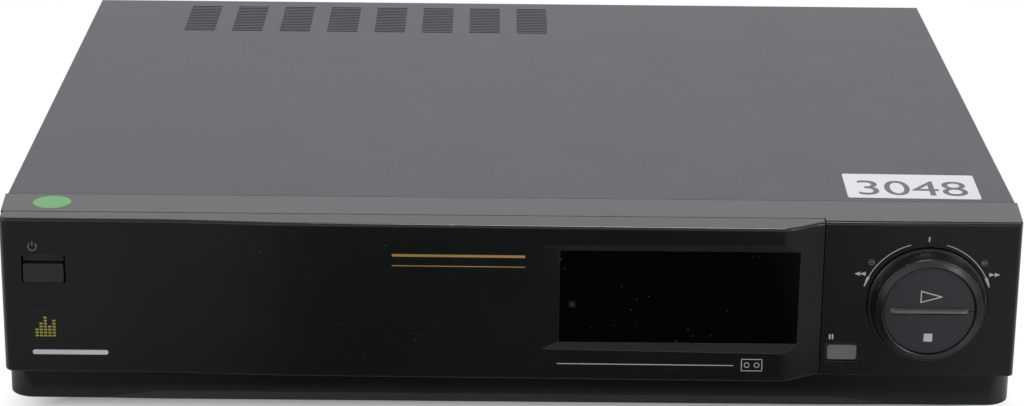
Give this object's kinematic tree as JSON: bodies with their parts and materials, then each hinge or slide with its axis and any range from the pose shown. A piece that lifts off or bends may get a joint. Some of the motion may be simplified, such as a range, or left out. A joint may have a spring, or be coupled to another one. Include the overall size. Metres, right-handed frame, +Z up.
{
  "type": "vhs video cassette recorder",
  "caption": "Front-loading video cassette recorder with a steel cover, drop-down front door, shuttle dial and a tape deck inside.",
  "frame": {"origin": "middle of the footprint on the surface that the feet stand on", "axes": "+X to the right seen from the front, +Y to the back, +Z up"},
  "size_m": [0.4312, 0.357, 0.089],
  "materials": {
    "cover_paint": "satin dark grey paint",
    "front_plastic": "satin black moulding",
    "fascia_plastic": "fine-grained black moulding",
    "zinc_steel": "zinc-plated sheet",
    "rear_paint": "matt black paint",
    "rubber_feet": "matt",
    "screw_black": "blackened steel",
    "smoked_window": "polished smoked acrylic",
    "bright_steel": "polished steel",
    "button_plastic": "satin",
    "grey_button": "satin",
    "ring_plastic": "satin, worn at the edge",
    "white_nylon": "moulded",
    "component_black": "moulded",
    "board_brown": "laminate",
    "display_glass": "dark filter glass",
    "drum_aluminium": "diamond-turned",
    "bearing_brass": "turned",
    "roller_rubber": "ground",
    "head_metal": "ground",
    "board_green": "solder-masked laminate",
    "transformer_iron": "varnished laminations",
    "tin_plate": "tin plate"
  },
  "bodies": {
    "chassis": {"top_cover": "cover_paint", "front_bezel": "front_plastic", "inner_fascia": "fascia_plastic", "display_frame": "fascia_plastic", "bottom_chassis": "zinc_steel", "rear_panel": "rear_paint", "feet": "rubber_feet", "cover_screws": "screw_black", "hinge_pins": "bright_steel", "door_catch": "bright_steel", "power_indicator": "button_plastic", "dial_hub": "button_plastic", "encoder": "component_black", "control_board": "board_brown", "button_board": "board_brown", "display_tube": "display_glass", "left_lift_frame": "zinc_steel", "right_lift_frame": "zinc_steel", "mechanism_deck": "zinc_steel", "lower_drum": "drum_aluminium", "capstan_bearing": "bearing_brass", "capstan_motor": "component_black", "fixed_guides": "bright_steel", "erase_head": "head_metal", "audio_head": "head_metal", "loading_motor": "bright_steel", "main_board": "board_green", "power_board": "board_brown", "transformer": "transformer_iron", "aerial_module": "tin_plate", "scart_sockets": "component_black", "audio_sockets": "component_black", "mains_inlet": "component_black", "rear_screws": "screw_black"},
    "door": {"front_door": "front_plastic", "door_window": "smoked_window"},
    "power_button": {"power_button": "button_plastic"},
    "pause_button": {"pause_button": "grey_button"},
    "play_key": {"play_key": "button_plastic"},
    "stop_key": {"stop_key": "button_plastic"},
    "eject_button": {"eject_button": "button_plastic"},
    "record_button": {"record_button": "button_plastic"},
    "channel_down_button": {"channel_down_button": "button_plastic"},
    "channel_up_button": {"channel_up_button": "button_plastic"},
    "shuttle_ring": {"shuttle_ring": "ring_plastic"},
    "encoder_gear": {"encoder_gear": "white_nylon"},
    "cassette_flap": {"cassette_flap": "fascia_plastic"},
    "lift_sliders": {"left_slider": "zinc_steel", "right_slider": "zinc_steel"},
    "cassette_carriage": {"cassette_carriage": "zinc_steel", "carriage_sides": "zinc_steel"},
    "upper_drum": {"upper_drum": "drum_aluminium"},
    "capstan": {"capstan_flywheel": "bright_steel"},
    "pinch_arm": {"pinch_arm": "zinc_steel"},
    "pinch_roller": {"pinch_roller": "roller_rubber"},
    "supply_reel_table": {"supply_reel_table": "white_nylon"},
    "takeup_reel_table": {"takeup_reel_table": "white_nylon"},
    "supply_guide": {"supply_guide": "bright_steel"},
    "takeup_guide": {"takeup_guide": "bright_steel"},
    "loading_worm": {"loading_worm": "white_nylon"}
  },
  "joints": [
    {"name": "door_hinge", "type": "hinge", "parent": "chassis", "child": "door", "pos_m": [0, -0.1682, 0.0236], "axis": [1, 0, 0], "range_deg": [0, 90]},
    {"name": "power_press", "type": "slide", "parent": "chassis", "child": "power_button", "axis": [0, 1, 0], "range_m": [0, 0.0012], "stiffness_N_per_m": 400},
    {"name": "pause_press", "type": "slide", "parent": "chassis", "child": "pause_button", "axis": [0, 1, 0], "range_m": [0, 0.0012], "stiffness_N_per_m": 400},
    {"name": "play_press", "type": "slide", "parent": "chassis", "child": "play_key", "axis": [0, 1, 0], "range_m": [0, 0.0012], "stiffness_N_per_m": 400},
    {"name": "stop_press", "type": "slide", "parent": "chassis", "child": "stop_key", "axis": [0, 1, 0], "range_m": [0, 0.0012], "stiffness_N_per_m": 400},
    {"name": "eject_press", "type": "slide", "parent": "chassis", "child": "eject_button", "axis": [0, 1, 0], "range_m": [0, 0.0012], "stiffness_N_per_m": 400},
    {"name": "record_press", "type": "slide", "parent": "chassis", "child": "record_button", "axis": [0, 1, 0], "range_m": [0, 0.0012], "stiffness_N_per_m": 400},
    {"name": "channel_down_press", "type": "slide", "parent": "chassis", "child": "channel_down_button", "axis": [0, 1, 0], "range_m": [0, 0.0012], "stiffness_N_per_m": 400},
    {"name": "channel_up_press", "type": "slide", "parent": "chassis", "child": "channel_up_button", "axis": [0, 1, 0], "range_m": [0, 0.0012], "stiffness_N_per_m": 400},
    {"name": "shuttle_turn", "type": "hinge", "parent": "chassis", "child": "shuttle_ring", "pos_m": [0.1748, -0.1685, 0.053], "axis": [0, 1, 0], "range_deg": [-70, 70], "stiffness_Nm_per_rad": 0.02},
    {"name": "encoder_turn", "type": "hinge", "parent": "chassis", "child": "encoder_gear", "pos_m": [0.1465, -0.1635, 0.0633], "axis": [0, 1, 0], "range_deg": [-345, 345]},
    {"name": "flap_hinge", "type": "hinge", "parent": "chassis", "child": "cassette_flap", "pos_m": [-0.0865, -0.1601, 0.0828], "axis": [1, 0, 0], "range_deg": [0, 85], "stiffness_Nm_per_rad": 0.002},
    {"name": "lift_in", "type": "slide", "parent": "chassis", "child": "lift_sliders", "axis": [0, -1, 0], "range_m": [-0.066, 0]},
    {"name": "lift_down", "type": "slide", "parent": "lift_sliders", "child": "cassette_carriage", "axis": [0, 0, 1], "range_m": [-0.022, 0]},
    {"name": "drum_spin", "type": "hinge", "parent": "chassis", "child": "upper_drum", "pos_m": [-0.0805, 0.0714, 0.0332], "axis": [0, 0.1045, 0.9945], "continuous": true},
    {"name": "capstan_spin", "type": "hinge", "parent": "chassis", "child": "capstan", "pos_m": [-0.0205, 0.0324, 0.03], "axis": [0, 0, 1], "continuous": true},
    {"name": "pinch_swing", "type": "hinge", "parent": "chassis", "child": "pinch_arm", "pos_m": [0.0055, 0.0514, 0.032], "axis": [0, 0, 1], "range_deg": [-22, 0]},
    {"name": "pinch_spin", "type": "hinge", "parent": "pinch_arm", "child": "pinch_roller", "pos_m": [-0.00351, 0.02727, 0.04], "axis": [0, 0, 1], "continuous": true},
    {"name": "supply_reel_spin", "type": "hinge", "parent": "chassis", "child": "supply_reel_table", "pos_m": [-0.13325, -0.0356, 0.034], "axis": [0, 0, 1], "continuous": true},
    {"name": "takeup_reel_spin", "type": "hinge", "parent": "chassis", "child": "takeup_reel_table", "pos_m": [-0.03975, -0.0356, 0.034], "axis": [0, 0, 1], "continuous": true},
    {"name": "supply_load", "type": "slide", "parent": "chassis", "child": "supply_guide", "axis": [0, 1, 0], "range_m": [0, 0.062]},
    {"name": "takeup_load", "type": "slide", "parent": "chassis", "child": "takeup_guide", "axis": [0, 1, 0], "range_m": [0, 0.062]},
    {"name": "worm_spin", "type": "hinge", "parent": "chassis", "child": "loading_worm", "pos_m": [-0.1774, 0.0804, 0.0432], "axis": [0, 1, 0], "continuous": true}
  ],
  "couplings": [
    {"joint": "encoder_turn", "follows": "shuttle_turn", "ratio": -4},
    {"joint": "takeup_load", "follows": "supply_load", "ratio": 1}
  ]
}
